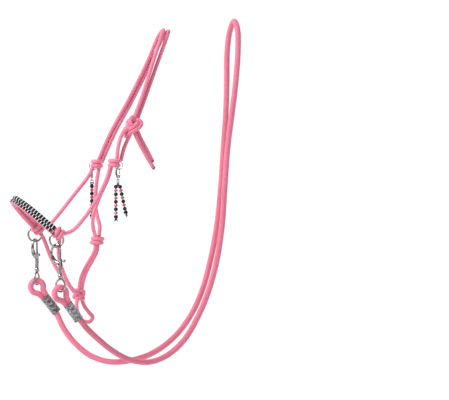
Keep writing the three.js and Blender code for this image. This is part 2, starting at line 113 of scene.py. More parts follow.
# ---- rope routes, each from the middle of one knot to the middle of the next ----
HALTER_ROUTES = {
    "crown_strand_front": [
        (-129, 48, -262), (-105, 38, -203), (-69, 27, -134), (-34, 17, -60), (-12, 9, -6),
        (-6, 0, 4), (-12, -9, -6), (-34, -20, -61), (-61, -30, -133), (-84, -39, -184)],
    "crown_strand_rear": [
        (-121, 46, -262), (-96.9, 36, -203), (-60.9, 27, -134), (-25.5, 17, -60), (-2, 9, -8),
        (5, 0, 2), (-1, -8, -10), (-24, -16, -65), (-52, -25, -133), (-74, -33, -184)],
    "tie_loop_front": [
        (-120, -52, -260), (-117, -49, -236), (-110, -45, -214), (-101, -42, -200),
        (-86, -39, -194)],
    "tie_loop_rear": [
        (-110, -46, -260), (-105, -44, -242), (-98, -41, -226), (-86, -38, -204)],
    "near_cheek_strand": [
        (-133, -53, -268), (-140, -55, -290), (-153, -57, -318), (-170, -58, -347),
        (-190, -59, -374), (-214, -60, -398), (-238, -60, -406)],
    "far_cheek_strand": [
        (-136, 50, -268), (-147, 52, -290), (-163, 54, -311), (-184, 56, -337),
        (-208, 58, -367), (-228, 58, -388), (-247, 58, -396)],
    "near_throat_strand": [
        (-128, -45, -268), (-136, -43, -296), (-146, -38, -320), (-155, -32, -345),
        (-160, -24, -368), (-159, -16, -388), (-151, -7, -410)],
    "far_throat_strand": [
        (-126, 45, -268), (-132, 43, -296), (-136, 38, -320), (-139, 31, -345),
        (-138, 23, -370), (-135, 15, -390), (-139, 7, -410)],
    "fiador_strand_near": [
        (-149, -5, -422), (-152, -5, -440), (-162, -5, -458), (-172, -5, -475),
        (-180, -5, -494), (-184, -5, -518)],
    "fiador_strand_far": [
        (-142, 5, -422), (-144, 5, -440), (-153, 5, -458), (-163, 5, -475),
        (-171, 5, -494), (-176, 5, -518)],
    "lead_loop": [
        (-177, 4, -530), (-171, 4, -548), (-161, 3, -562), (-154, 1, -571), (-160, 0, -580),
        (-173, -1, -579), (-183, -3, -567), (-189, -4, -550), (-187, -4, -531)],
    "near_chin_strand": [
        (-238, -56, -408), (-239, -51, -426), (-238, -45, -442), (-233, -36, -458),
        (-225, -28, -476), (-214, -19, -496), (-201, -11, -514), (-186, -4, -528)],
    "far_chin_strand": [
        (-249, 56, -400), (-242, 50, -414), (-238, 43, -428), (-235, 36, -442),
        (-228, 28, -462), (-219, 20, -481), (-208, 13, -499), (-186, 4, -524)],
}
TAILS = {
    "crown_tail_front": {
        "exit": (-81, -42, -204), "length": 82,
        "route": [(-82, -41, -200), (-76, -44, -215), (-66, -46, -235), (-53, -48, -258),
                  (-41, -49, -277)]},
    "crown_tail_rear": {
        "exit": (-72, -35, -202), "length": 70,
        "route": [(-73, -34.5, -198), (-66, -37, -215), (-56, -39, -234), (-41, -41, -263)]},
}
BAND_ROUTE = [
    (-243, -59, -405), (-262, -53, -389), (-281, -44, -371), (-299, -30, -354),
    (-311, -15, -343), (-316, 0, -338), (-312, 15, -341), (-300, 31, -351), (-284, 43, -366),
    (-268, 52, -380), (-250, 58, -396)]
BAND_ACROSS = np.array((0.68, 0, 0.73)) / math.hypot(0.68, 0.73)
BAND_OFFSET = 4.3
REIN_ROUTE = [
    (-207, -66.7, -566.7), (-199, -65, -574), (-185, -61, -590), (-161, -55, -611),
    (-128, -48, -636), (-90, -40, -655), (-45, -32, -661), (-5, -26, -648), (32, -21, -618),
    (62, -17, -573), (85, -15, -523), (103, -14, -462), (115, -13, -390), (121, -13, -310),
    (127, -14, -230), (135, -18, -160), (141, -24, -95), (145, -25, -35), (147, -17, 7),
    (146, 0, 25), (143, 17, 7), (140, 25, -35), (139, 25, -95), (135, 19, -160),
    (128, 14, -230), (122, 13, -310), (113, 13, -392), (99, 13, -462), (82, 13, -520),
    (58, 13, -570), (24, 14, -613), (-20, 17, -645), (-64, 22, -660), (-108, 30, -663),
    (-147, 41, -650), (-178, 51, -623), (-197, 58, -596), (-209, 63, -569),
    (-214, 64.7, -557.7)]

# ---- knots: where each one is, the way its wraps stack, and how it is tied ----
KNOTS = {
    "near_cheek_knot": {"at": (-125, -50, -265), "axis": (0.1, 0, 1), "radius": 13, "length": 19},
    "far_cheek_knot": {"at": (-130, 50, -265), "axis": (0.1, 0, 1), "radius": 13, "length": 19},
    "throat_knot": {"at": (-145, 0, -419), "axis": (0.25, 0, 1), "radius": 14, "length": 18},
    "near_nose_knot": {
        "at": (-242, -60, -404), "axis": (-0.73, 0.2, 0.65), "radius": 13, "length": 20},
    "far_nose_knot": {
        "at": (-251, 58, -395), "axis": (-0.73, -0.2, 0.65), "radius": 13, "length": 20},
    "tie_knot": {"at": (-80, -37, -190), "axis": (0, 0, 1), "radius": 16, "length": 40},
    "fiador_knot": {
        "at": (-182, 0, -526), "axis": (0.25, 0, 1), "radius": 12, "length": 23, "bights": 4},
}
# how far a knot's wraps slope across it, as a share of its reach
LEANS = {"throat_knot": 0.2, "near_nose_knot": 0.12, "far_nose_knot": -0.12}
USUAL_LEAN = 0.08
FIADOR_ROPE = 7.2

# ---- the two sides: `hook` is the middle of the nose ring's wire where the snap hangs, and
# the turns are in degrees about the vertical ----
SIDES = {
    "near": {"hook": (-248, -66, -430), "snap_turn": -50, "loop_turn": 10},
    "far": {"hook": (-255, 64, -421), "snap_turn": 50, "loop_turn": -10},
}
CHARMS = {
    "near": {"ring": (-119.5, -61, -269.5), "hook_angle": 262, "turn": 0, "clasp_turn": -55},
    "far": {"ring": (-134, 62, -268.5), "hook_angle": 250, "turn": 70, "clasp_turn": 55},
}
STRINGS = {
    "long": {"beads": 8, "root": -1.6, "top": -4.4, "lean": 0},
    "short": {"beads": 7, "root": 1.6, "top": 4.4, "lean": 0.22},
}


# ---- lines ----
def smooth_line(points, step, closed=False):
    """Points every `step` along a smooth line through `points`."""
    points = np.array(points, float)
    if closed:
        guide = np.vstack([points[-1:], points, points[:2]])
    else:
        guide = np.vstack([2 * points[0] - points[1], points, 2 * points[-1] - points[-2]])
    bends = []
    for a, b, c, d in zip(guide, guide[1:], guide[2:], guide[3:]):
        t1 = np.linalg.norm(b - a) ** 0.5
        t2 = t1 + np.linalg.norm(c - b) ** 0.5
        t3 = t2 + np.linalg.norm(d - c) ** 0.5
        t = np.linspace(t1, t2, 16, endpoint=False)[:, None]
        ab = ((t1 - t) * a + t * b) / t1
        bc = ((t2 - t) * b + (t - t1) * c) / (t2 - t1)
        cd = ((t3 - t) * c + (t - t2) * d) / (t3 - t2)
        abc = ((t2 - t) * ab + t * bc) / t2
        bcd = ((t3 - t) * bc + (t - t1) * cd) / (t3 - t1)
        bends.append(((t2 - t) * abc + (t - t1) * bcd) / (t2 - t1))
    line = np.vstack(bends + [guide[-2:-1]])
    run = np.concatenate([[0], np.cumsum(np.linalg.norm(np.diff(line, axis=0), axis=1))])
    stops = np.linspace(0, run[-1], max(4, round(run[-1] / step)) + 1)
    line = np.stack([np.interp(stops, run, line[:, k]) for k in range(3)], axis=1)
    return line[:-1] if closed else line


def directions(line, closed=False):
    """Along the line, and two ways across it that don't twist, at each of its points."""
    if closed:
        along = np.roll(line, -1, 0) - np.roll(line, 1, 0)
    else:
        along = np.gradient(line, axis=0)
    along /= np.linalg.norm(along, axis=1)[:, None]
    first = np.cross(along[0], (0, 1, 0))
    if np.linalg.norm(first) < 0.2:
        first = np.cross(along[0], (1, 0, 0))
    across = [first / np.linalg.norm(first)]
    for way in along[1:]:
        kept = across[-1] - way * np.dot(across[-1], way)
        across.append(kept / np.linalg.norm(kept))
    across = np.array(across)
    if closed:
        last = across[-1] - along[0] * np.dot(across[-1], along[0])
        twist = math.atan2(np.dot(np.cross(last, across[0]), along[0]), np.dot(last, across[0]))
        turn = (twist * np.arange(len(line)) / len(line))[:, None]
        across = np.cos(turn) * across + np.sin(turn) * np.cross(along, across)
    return along, across, np.cross(along, across)


# ---- meshes ----
class Skin:
    """The points and faces of one piece while it is being made, in millimetres."""

    def __init__(self):
        self.points, self.faces, self.finishes, self.maps = [], [], [], []
        self.values, self.flat = [], []
        self.count = 0

    def add(self, points, faces, finish=0, value=0.5, maps=None, flat=False):
        """`value` is kept at each point, for a finish to read; `maps` is one (u, v) a corner."""
        points = np.asarray(points, float).reshape(-1, 3)
        self.points.append(points)
        self.faces.extend([tuple(i + self.count for i in face) for face in faces])
        self.finishes.extend([finish] * len(faces))
        self.flat.extend([flat] * len(faces))
        corners = sum(len(face) for face in faces)
        self.maps.extend(maps if maps is not None else [(0.0, 0.0)] * corners)
        self.values.append(np.broadcast_to(np.asarray(value, float), (len(points),)))
        self.count += len(points)
        return self


def wall(rings, around, closed_along=False, closed_around=True):
    """Four-sided faces between rings of points, and the (around, along) of their corners."""
    faces, maps = [], []
    for i in range(rings if closed_along else rings - 1):
        here, there = i * around, (i + 1) % rings * around
        for k in range(around if closed_around else around - 1):
            n = (k + 1) % around
            faces.append((here + k, here + n, there + n, there + k))
            maps.extend([(k, i), (k + 1, i), (k + 1, i + 1), (k, i + 1)])
    return faces, maps


def swept(skin, line, radius, sides, closed=False, squash=1.0, finish=0, value=0.5, flat=False):
    """A tube round a line; `radius` is one number, one a point, or one a point of each ring."""
    _, across, up = directions(line, closed)
    turn = np.linspace(0, 2 * math.pi, sides, endpoint=False)
    radius = np.asarray(radius, float)
    if radius.ndim == 1:
        radius = radius[:, None]
    radius = np.broadcast_to(radius, (len(line), sides))[..., None]
    ring = np.cos(turn)[None, :, None] * across[:, None] * squash
    ring = ring + np.sin(turn)[None, :, None] * up[:, None]
    points = (line[:, None] + radius * ring).reshape(-1, 3)
    faces, maps = wall(len(line), sides, closed)
    step = np.linalg.norm(line[1] - line[0])
    unit = 2 * math.pi * float(radius.mean()) / sides
    maps = [(u * unit, v * step) for u, v in maps]
    values = np.broadcast_to(value, (len(line), sides)).reshape(-1)
    if not closed:
        start, end = len(points), len(points) + 1
        points = np.vstack([points, line[:1], line[-1:]])
        values = np.concatenate([values, [values[0], values[-1]]])
        last = (len(line) - 1) * sides
        for k in range(sides):
            n = (k + 1) % sides
            faces += [(start, n, k), (end, last + k, last + n)]
            maps += [(0.0, 0.0)] * 6
    skin.add(points, faces, finish, values, maps, flat)
    return skin


def turned(skin, profile, segments, start=(0, 0, 0), axis=(0, 0, 1), finish=0, flat=False):
    """A shape turned on a lathe: (radius, height) pairs, going up the outside."""
    turn = np.linspace(0, 2 * math.pi, segments, endpoint=False)
    points = np.array([[(r * math.cos(a), r * math.sin(a), z) for a in turn] for r, z in profile])
    to_axis = np.array(Vector((0, 0, 1)).rotation_difference(Vector(axis)).to_matrix())
    points = points.reshape(-1, 3) @ to_axis.T + np.array(start)
    faces, maps = wall(len(profile), segments)
    skin.add(points, faces, finish, 0.5, maps, flat)
    return skin


def oval_line(half_width, up, down, count):
    """A closed oval in the XZ plane, taller above the middle than below it."""
    turn = np.linspace(0, 2 * math.pi, count, endpoint=False)
    height = np.where(np.sin(turn) > 0, up, down) * np.sin(turn)
    return np.stack([half_width * np.cos(turn), np.zeros(count), height], axis=1)


def circle_line(radius, centre, across_x, across_z, count=64):
    turn = np.linspace(0, 2 * math.pi, count, endpoint=False)[:, None]
    around = np.cos(turn) * np.array(across_x, float) + np.sin(turn) * np.array(across_z, float)
    return np.array(centre, float) + radius * around


def make_piece(name, skin, finishes, body, replaces=(), place=None):
    """Turns a skin to metres, and makes it a piece of its body in that material slot."""
    mesh = bpy.data.meshes.new(name)
    points = np.vstack(skin.points) * MM
    mesh.from_pydata(points.tolist(), [], skin.faces)
    mesh.polygons.foreach_set("material_index", skin.finishes)
    mesh.polygons.foreach_set("use_smooth", [not flat for flat in skin.flat])
    # the braid's relief, which the rope finish also turns into painted shade and painted highlight
    mesh.attributes.new("relief", "FLOAT", "POINT").data.foreach_set(
        "value", np.concatenate(skin.values).astype(np.float32))
    layer = mesh.uv_layers.new(name="weave")
    layer.data.foreach_set("uv", np.array(skin.maps, np.float32).reshape(-1))
    for finish in finishes:
        mesh.materials.append(finish)
    mesh.validate()
    mesh.set_sharp_from_angle(angle=math.radians(40))
    made = bpy.data.objects.new(name, mesh)
    bpy.context.collection.objects.link(made)
    if place is not None:
        made.matrix_world = place
    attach(made, body)
    if replaces:
        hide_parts(*replaces)
    return made


# ---- rope ----
def braid_relief(rings, around, strands, step, stitch):
    """How high the surface of a braid stands, 0 between strands and 1 on top of one.

    Two families of strands cross at 45 degrees, and each goes over one and under one.
    """
    turn = np.arange(around)[None, :] / around * strands
    along = np.arange(rings)[:, None] * step / stitch
    left, right = turn + along, turn - along
    over = (np.floor(left) + np.floor(right)) % 2 == 0
    across = np.where(over, left % 1, right % 1)
    length = np.where(over, right % 1, left % 1)
    crown = np.sqrt(np.clip(1 - (2 * across - 1) ** 2, 0, 1))
    return crown * (0.55 + 0.45 * np.sin(math.pi * length))


def braided_rope(skin, points, diameter, closed=False, melted=False, slim=None):
    """A round braid along a smooth line. A melted end is rounded off and goes dark.

    `slim` takes each point's share of the way along, and gives how far the rope is squeezed.
    """
    strands = round(math.pi * diameter / STRAND_WIDTH)
    around = 3 * strands
    line = smooth_line(points, STRAND_WIDTH / 3, closed)
    step = np.linalg.norm(line[1] - line[0])
    relief = braid_relief(len(line), around, strands, step, STRAND_WIDTH)
    radius = diameter / 2 - BRAID_DEPTH * diameter * (1 - relief)
    if slim is not None:
        radius = radius * slim(np.linspace(0, 1, len(line)))[:, None]
    value = relief
    if melted:
        left = step * (len(line) - 1 - np.arange(len(line)))[:, None]
        tip = np.clip(left / (0.45 * diameter), 0, 1)
        radius = radius * np.sqrt(np.clip(1 - (1 - tip) ** 2, 0.02, 1))
        value = np.where(left < MELTED_END, MELTED, relief)
    swept(skin, line, radius, around, closed, value=value)
    return line


def in_knot(knot):
    """The knot's own place: its middle at the origin and its wraps stacked along +Z."""
    turn = Vector((0, 0, 1)).rotation_difference(Vector(knot["axis"])).to_matrix().to_4x4()
    return Matrix.Translation(Vector(knot["at"]) * MM) @ turn


def wrapped_knot(skin, knot, lean):
    """Two turns of rope side by side. It steps from one to the next, and tucks in, at the back."""
    rope = 0.46 * knot["length"]  # the two turns are pressed together a little
    reach = knot["radius"] - rope / 2
    points = [(0, 0.1 * reach, 0)]
    for turn in np.linspace(0.03, 1.97, 32):
        angle = 2 * math.pi * turn + math.pi / 2
        step_up = min(1, max(0, (turn - 0.86) / 0.28))
        height = rope * (step_up * step_up * (3 - 2 * step_up) - 0.5)
        height += lean * reach * math.cos(angle)
        tucked = reach * (1 - 0.5 * max(0, 0.1 - turn, turn - 1.9) / 0.1)
        points.append((tucked * math.cos(angle), tucked * math.sin(angle), height))
    points.append((0, 0.1 * reach, 0))
    braided_rope(skin, points, rope)


# the crossings of the tie, seen from the near side: right, away and up from its middle
TIE_TURNS = [
    [(2, 4, 8), (9, -1, 11), (15, -2, 5), (12, -7, -3), (2, -10, -10), (-8, -9, -16),
     (-16, -4, -21), (-17, 4, -16), (-8, 8, -8), (2, 6, -2)],
    [(8, 3, 2), (7, -6, 4), (-1, -9.5, -3), (-11, -7, -9), (-19, -1, -12), (-17, 6, -6),
     (-7, 8, 0)],
    [(4, 6, 8), (2, 1, 16), (-4, -3, 16), (-7, -7, 9), (-5, -10, 3), (1, -6, -4), (6, 1, -9)],
    [(0, 6, 6), (-7, 5, 11), (-12, -1, 7), (-12, -6, 0), (-7, -6, -5), (2, 0, -12)],
]


def tie_knot(skin):
    for turns in TIE_TURNS:
        braided_rope(skin, turns, 1.04 * HALTER_ROPE)
    braided_rope(skin, [(5, 3, 12), (0, 2, -2), (-8, 3, -12)], 1.5 * HALTER_ROPE)


def woven_knot(skin, knot, bights, rope):
    """One rope woven over and under itself, three times round the middle."""
    reach = knot["radius"] - 0.62 * rope
    rise = knot["length"] / 2 - rope / 2
    points = []
    for t in np.linspace(0, 2 * math.pi, 24 * bights, endpoint=False):
        wave = bights * t
        out = reach + 0.3 * rope * math.sin(2 * wave)
        points.append((out * math.cos(3 * t), out * math.sin(3 * t), rise * math.cos(wave)))
    braided_rope(skin, points, rope, closed=True)
    core = [(0, 0, -rise), (1.2, 0.8, 0), (0, 0, rise)]
    braided_rope(skin, core, 1.5 * rope)


# ---- finishes ----
def colour(text):
    """An sRGB hex colour as the linear values that a shader takes."""
    parts = [int(text[i:i + 2], 16) / 255 for i in (1, 3, 5)]
    return [p / 12.92 if p <= 0.04045 else ((p + 0.055) / 1.055) ** 2.4 for p in parts] + [1]


def add(tree, kind, settings=None, links=None):
    """One node, with its settings, and the outputs that feed its inputs."""
    node = tree.nodes.new(kind)
    for key, value in (settings or {}).items():
        if isinstance(key, int) or key in node.inputs:
            node.inputs[key].default_value = value
        else:
            setattr(node, key, value)
    for key, output in (links or {}).items():
        tree.links.new(output, node.inputs[key])
    return node


def start_finish(name, settings):
    material = bpy.data.materials.new(name)
    material.use_nodes = True
    tree = material.node_tree
    tree.nodes.clear()
    shader = add(tree, "ShaderNodeBsdfPrincipled", settings)
    add(tree, "ShaderNodeOutputMaterial", links={"Surface": shader.outputs[0]})
    return material, tree, shader


def per_metre(size_mm):
    """The scale of a pattern whose repeat is that many millimetres on an object in metres."""
    return 1 / (size_mm * MM)


def noise(tree, place, scale, detail):
    return add(tree, "ShaderNodeTexNoise", {"Scale": scale, "Detail": detail},
               {"Vector": place}).outputs["Fac"]


def ranged(tree, value, limits):
    return add(tree, "ShaderNodeMapRange", limits, {"Value": value}).outputs["Result"]


def mixed(tree, share, low, high):
    """The colour at `share` of the way between two."""
    return add(tree, "ShaderNodeMix", {"data_type": "RGBA", 6: colour(low), 7: colour(high)},
               {0: share}).outputs[2]


def bumped(tree, shader, height, strength, deep_mm):
    bump = add(tree, "ShaderNodeBump", {"Strength": strength, "Distance": deep_mm * MM},
               {"Height": height})
    tree.links.new(bump.outputs[0], shader.inputs["Normal"])


def braided_polyester(name, crown, valley):
    """Round-braided polyester: matt, soft threads, with painted highlight on top of each strand
    and painted shade between strands.
    """
    material, tree, shader = start_finish(name, {
        "Roughness": 0.72, "IOR": 1.5, "Sheen Weight": 0.35, "Sheen Roughness": 0.45,
        "Subsurface Weight": 0.04, "Subsurface Scale": 0.002})
    relief = add(tree, "ShaderNodeAttribute", {"attribute_name": "relief"}).outputs["Fac"]
    weave = add(tree, "ShaderNodeUVMap", {"uv_map": "weave"}).outputs["UV"]
    place = add(tree, "ShaderNodeTexCoord").outputs["Object"]
    # threads are about 0.3 mm; the map is already in millimetres
    threads = noise(tree, weave, 1 / 0.6, 3.0)
    # handling dulls the rope in patches a few centimetres long
    wear = noise(tree, place, per_metre(45), 2.0)
    depth = add(tree, "ShaderNodeMath", {"operation": "MULTIPLY_ADD", 1: 0.35},
                {0: threads, 2: relief}).outputs[0]
    # painted shade and highlight: the braid's relief makes the colour dark in the valleys and
    # light on the strands' tops
    shade = ranged(tree, depth, {"From Min": 0.15, "From Max": 0.95})
    pink = mixed(tree, shade, valley, crown)
    worn = ranged(tree, wear, {"From Min": 0.35, "From Max": 0.75, "To Max": 0.22})
    pink = add(tree, "ShaderNodeMix", {"data_type": "RGBA", "blend_type": "MULTIPLY",
                                       7: colour("#e2a9b8")}, {0: worn, 6: pink}).outputs[2]
    melted = add(tree, "ShaderNodeMath", {"operation": "LESS_THAN", 1: MELTED / 2},
                 {0: relief}).outputs[0]
    pink = add(tree, "ShaderNodeMix", {"data_type": "RGBA", 7: colour("#7c3c4b")},
               {0: melted, 6: pink}).outputs[2]
    tree.links.new(pink, shader.inputs["Base Color"])
    bumped(tree, shader, threads, 0.35, 0.15)
    return material


def woven_lace(name, base, light, rough):
    """Flat woven nylon: fine ribs across the lace, a slight sheen."""
    material, tree, shader = start_finish(name, {
        "Roughness": rough, "IOR": 1.53, "Specular IOR Level": 0.2, "Sheen Weight": 0.05,
        "Sheen Roughness": 0.4})
    place = add(tree, "ShaderNodeTexCoord").outputs["Object"]
    # real ribs are 0.4 mm; drawn at 0.9 mm so that they show
    ribs = noise(tree, place, per_metre(0.9), 2.0)
    tree.links.new(mixed(tree, ribs, base, light), shader.inputs["Base Color"])
    bumped(tree, shader, ribs, 0.3, 0.1)
    return material


def cast_metal(name, bright, dull, smooth, rough, grain_mm, wave_mm, wave_height):
    """Metal that clouds in patches where it is handled: rougher there, and less of a mirror. In
    the same patches its colour is painted darker, as painted dark reflection.
    """
    material, tree, shader = start_finish(name, {"Metallic": 1.0})
    place = add(tree, "ShaderNodeTexCoord").outputs["Object"]
    cloud = noise(tree, place, per_metre(grain_mm), 4.0)
    patch = ranged(tree, cloud, {"From Min": 0.35, "From Max": 0.7})
    # painted reflection: the patches go from the metal's colour to a darker one, for dark
    # reflections
    tree.links.new(mixed(tree, patch, bright, dull), shader.inputs["Base Color"])
    polish = ranged(tree, patch, {"To Min": smooth, "To Max": rough})
    tree.links.new(polish, shader.inputs["Roughness"])
    # the skin is a little wavy, and that breaks up what it mirrors
    waves = noise(tree, place, per_metre(wave_mm), 3.0)
    bumped(tree, shader, waves, 1.0, wave_height)
    return material


def pressed_glass(name, base, edge, rough):
    """Glass beads, opaque: a hard bright highlight and a slightly uneven fire-polished skin."""
    material, tree, shader = start_finish(name, {
        "IOR": 1.52, "Specular IOR Level": 0.25, "Coat Weight": 0.12, "Coat Roughness": 0.03})
    place = add(tree, "ShaderNodeTexCoord").outputs["Object"]
    swirl = noise(tree, place, per_metre(3), 2.0)
    tree.links.new(mixed(tree, swirl, base, edge), shader.inputs["Base Color"])
    polish = ranged(tree, swirl, {"To Min": rough, "To Max": 2.2 * rough})
    tree.links.new(polish, shader.inputs["Roughness"])
    return material


# the halter's rope is the cleaner pink; the rein is handled more, and a little duller
# on both, the lighter colour is painted highlight on the strands' tops and the darker one painted
# shade between them
ROPE = braided_polyester("braided_polyester_rope", "#f18aa6", "#972f50")
REIN = braided_polyester("braided_polyester_rein", "#ec829c", "#922c4b")
# a close black weave gives back almost nothing; foil round the thread beside it glitters
LACE = woven_lace("woven_nylon_lace_black", "#060507", "#18161a", 0.55)
SILVER_THREAD = woven_lace("metallised_thread_silver", "#c9c9cd", "#f2f2f5", 0.35)
# plating over a smooth casting: a soft grey mirror with dark edges, and patches of painted dark
# reflection
NICKEL = cast_metal("nickel_plated_zinc_casting", "#b3b1b0", "#5a5959", 0.1, 0.26, 7, 1.2, 0.02)
# soft tube dimpled all over by the crimping jaws: small patches of light and dark, from the dents
# and from painted dark reflection
CRIMPED = cast_metal("crimped_aluminium_tube", "#a8a8ab", "#2c2c30", 0.15, 0.4, 3.4, 2.6, 0.35)
# hard wire from the die: even, and more satin than mirror, with faint patches of painted dark
# reflection
SPRING = cast_metal("drawn_spring_steel", "#9c9da1", "#7d7e83", 0.25, 0.4, 4, 1.2, 0.01)
# black beads are all highlight; pink ones show streaks from the press
BLACK_GLASS = pressed_glass("pressed_glass_black", "#08070a", "#141217", 0.05)
PINK_GLASS = pressed_glass("pressed_glass_pink", "#bd3a64", "#d55880", 0.08)
# wax fills the cotton, so it is dull black with a faint grain
WAXED_CORD = woven_lace("waxed_cotton_cord_black", "#0c0a0d", "#231f25", 0.6)


# ---- cords: the rein rope and the two free tails of the crown ----
def make_rein_rope():
    skin = Skin()
    line = braided_rope(skin, REIN_ROUTE, REIN_ROPE)
    made = make_piece("rein_rope_braid", skin, [REIN], "reins", ["rein_rope"])


def make_tails():
    for node, tail in TAILS.items():
        skin = Skin()
        line = braided_rope(skin, tail["route"], HALTER_ROPE, melted=True)
        made = make_piece(f"{node}_braid", skin, [ROPE], "halter", [node])


make_rein_rope()
make_tails()


# ---- halter ----
def make_strands():
    for node, route in HALTER_ROUTES.items():
        skin = Skin()
        braided_rope(skin, route, HALTER_ROPE)
        make_piece(f"{node}_braid", skin, [ROPE], "halter", [node])
    for node, side in (("noseband_rope_upper", 1), ("noseband_rope_lower", -1)):
        skin = Skin()
        braided_rope(skin, np.array(BAND_ROUTE) + side * BAND_OFFSET * BAND_ACROSS, HALTER_ROPE)
        make_piece(f"{node}_braid", skin, [ROPE], "halter", [node])


def make_knots():
    for node, knot in KNOTS.items():
        skin = Skin()
        place = in_knot(knot)
        if node == "tie_knot":
            tie_knot(skin)
            place = place @ Matrix.Rotation(VIEW_AZIMUTH, 4, "Z")
        elif "bights" in knot:
            woven_knot(skin, knot, knot["bights"], FIADOR_ROPE)
        else:
            wrapped_knot(skin, knot, LEANS.get(node, USUAL_LEAN))
        make_piece(f"{node}_wraps", skin, [ROPE], "halter", [node], place)


# ---- noseband lacing: flat black lace over each rope, edged with silver thread ----
LACE_WIDTH = 4.9
LACE_THICK = 1.1
THREAD = 1.7
LACE_PITCH = LACE_WIDTH + THREAD
BAND_STEP = 0.5
FIRST_ANGLE = 22  # where a tile of lace begins on its rope: 0 faces the other rope


def make_lacing():
    centre = smooth_line(BAND_ROUTE, BAND_STEP)
    run = len(centre) * BAND_STEP
    along, _, _ = directions(centre)
    out = np.cross(BAND_ACROSS, along)
    out /= np.linalg.norm(out, axis=1)[:, None]
    across = np.cross(along, out)

    def at(distance):
        i = int(np.clip(round(distance / BAND_STEP), 0, len(centre) - 1))
        return centre[i], across[i], out[i]

    def over(distance, side, angle, reach):
        """A point over one rope: angle 0 points at the other rope, 90 points outwards."""
        middle, sideways, outwards = at(distance)
        swing = math.radians(angle)
        rope = middle + side * BAND_OFFSET * sideways
        return rope + reach * (-side * math.cos(swing) * sideways + math.sin(swing) * outwards)

    skin = Skin()
    inner = HALTER_ROPE / 2 + 0.1
    count = int(0.9 * run / LACE_PITCH)
    begin = 0.05 * run
    # the lace runs right round the upper rope, and leaves the lower edge of the other bare
    for side, shift, last in ((1, 0, 196), (-1, 0.5, 118)):
        angles = np.linspace(FIRST_ANGLE, last, 10)
        for n in range(count):
            start = begin + (n + shift) * LACE_PITCH
            # a tile of lace, crowned along and across, as thick at its edges as the lace
            rows = []
            for angle in angles:
                lift = 0.35 * math.sin(math.pi * (angle - FIRST_ANGLE) / (last - FIRST_ANGLE))
                row = [over(start + s * LACE_WIDTH, side, angle, inner + LACE_THICK + lift - dip)
                       for s, dip in ((0.04, 0.45), (0.25, 0.08), (0.5, 0), (0.75, 0.08),
                                      (0.96, 0.45))]
                row += [over(start + s * LACE_WIDTH, side, angle, inner) for s in (0.96, 0.04)]
                rows.append(row)
            faces, maps = wall(len(rows), 7)
            ends = [tuple(range(6, -1, -1)), tuple(range(len(rows) * 7 - 7, len(rows) * 7))]
            skin.add(rows, faces + ends, 0, 0.5, maps + [(0.0, 0.0)] * 14)
            # silver thread in the gap after it, then a short thread along the middle
            gap = start + LACE_WIDTH + THREAD / 2
            reach = inner + LACE_THICK - 0.1
            hoop = [over(gap, side, angle, reach) for angle in np.linspace(8, last, 14)]
            swept(skin, smooth_line(hoop, 1), THREAD / 2, 6, finish=1)
            edge = [over(gap + s, side, 24, reach + 0.2) for s in (-LACE_PITCH, -3, 0)]
            swept(skin, smooth_line(edge, 1), 0.95 * THREAD / 2, 6, finish=1)
    make_piece("noseband_lacing_weave", skin, [LACE, SILVER_THREAD], "halter",
               ["noseband_lacing"])


# ---- nose rings, snaps, swivel eyes and the ends of the reins ----
HOOK_ROUTE = [
    (6.2, 0, -32), (-1.5, 0, -29), (-8.5, 0, -22), (-11.8, 0, -12.5), (-10, 0, -3),
    (-4.8, 0, 3.4), (1.2, 0, 4.9), (6.6, 0, 2.8), (9, 0, -2.2)]
BARREL_TOP = -23
BARREL_RADIUS = 3.6
BORE_RADIUS = 2.35
STUD_HEIGHT = -27
STUD_TRAVEL = 8
BOLT_TOP = -2.7
BOLT_BOTTOM = -32
EYE_CENTRE = -76.5
EYE_WIDE = 10.8
EYE_LOW = 10.5  # how far the eye's wire reaches below its centre
EYE_HIGH = EYE_LOW + 3.4


def turned_place(at, degrees):
    return Matrix.Translation(Vector(at) * MM) @ Matrix.Rotation(math.radians(degrees), 4, "Z")


def make_nose_ring(side_name, side):
    x, y, z = side["hook"]
    skin = Skin()
    line = circle_line(NOSE_RING_RADIUS, (x, y, z + NOSE_RING_RADIUS), (1, 0, 0), (0, 0, 1), 96)
    # the butt weld is a slight swelling near the top
    turn = np.linspace(0, 2 * math.pi, 96, endpoint=False)
    weld = 0.16 * np.exp(-((turn - 1.9) / 0.06) ** 2)
    swept(skin, line, NOSE_RING_WIRE / 2 + weld, 20, closed=True)
    make_piece(f"{side_name}_nose_ring_wire", skin, [NICKEL], f"{side_name}_ring",
               [f"{side_name}_nose_ring"])


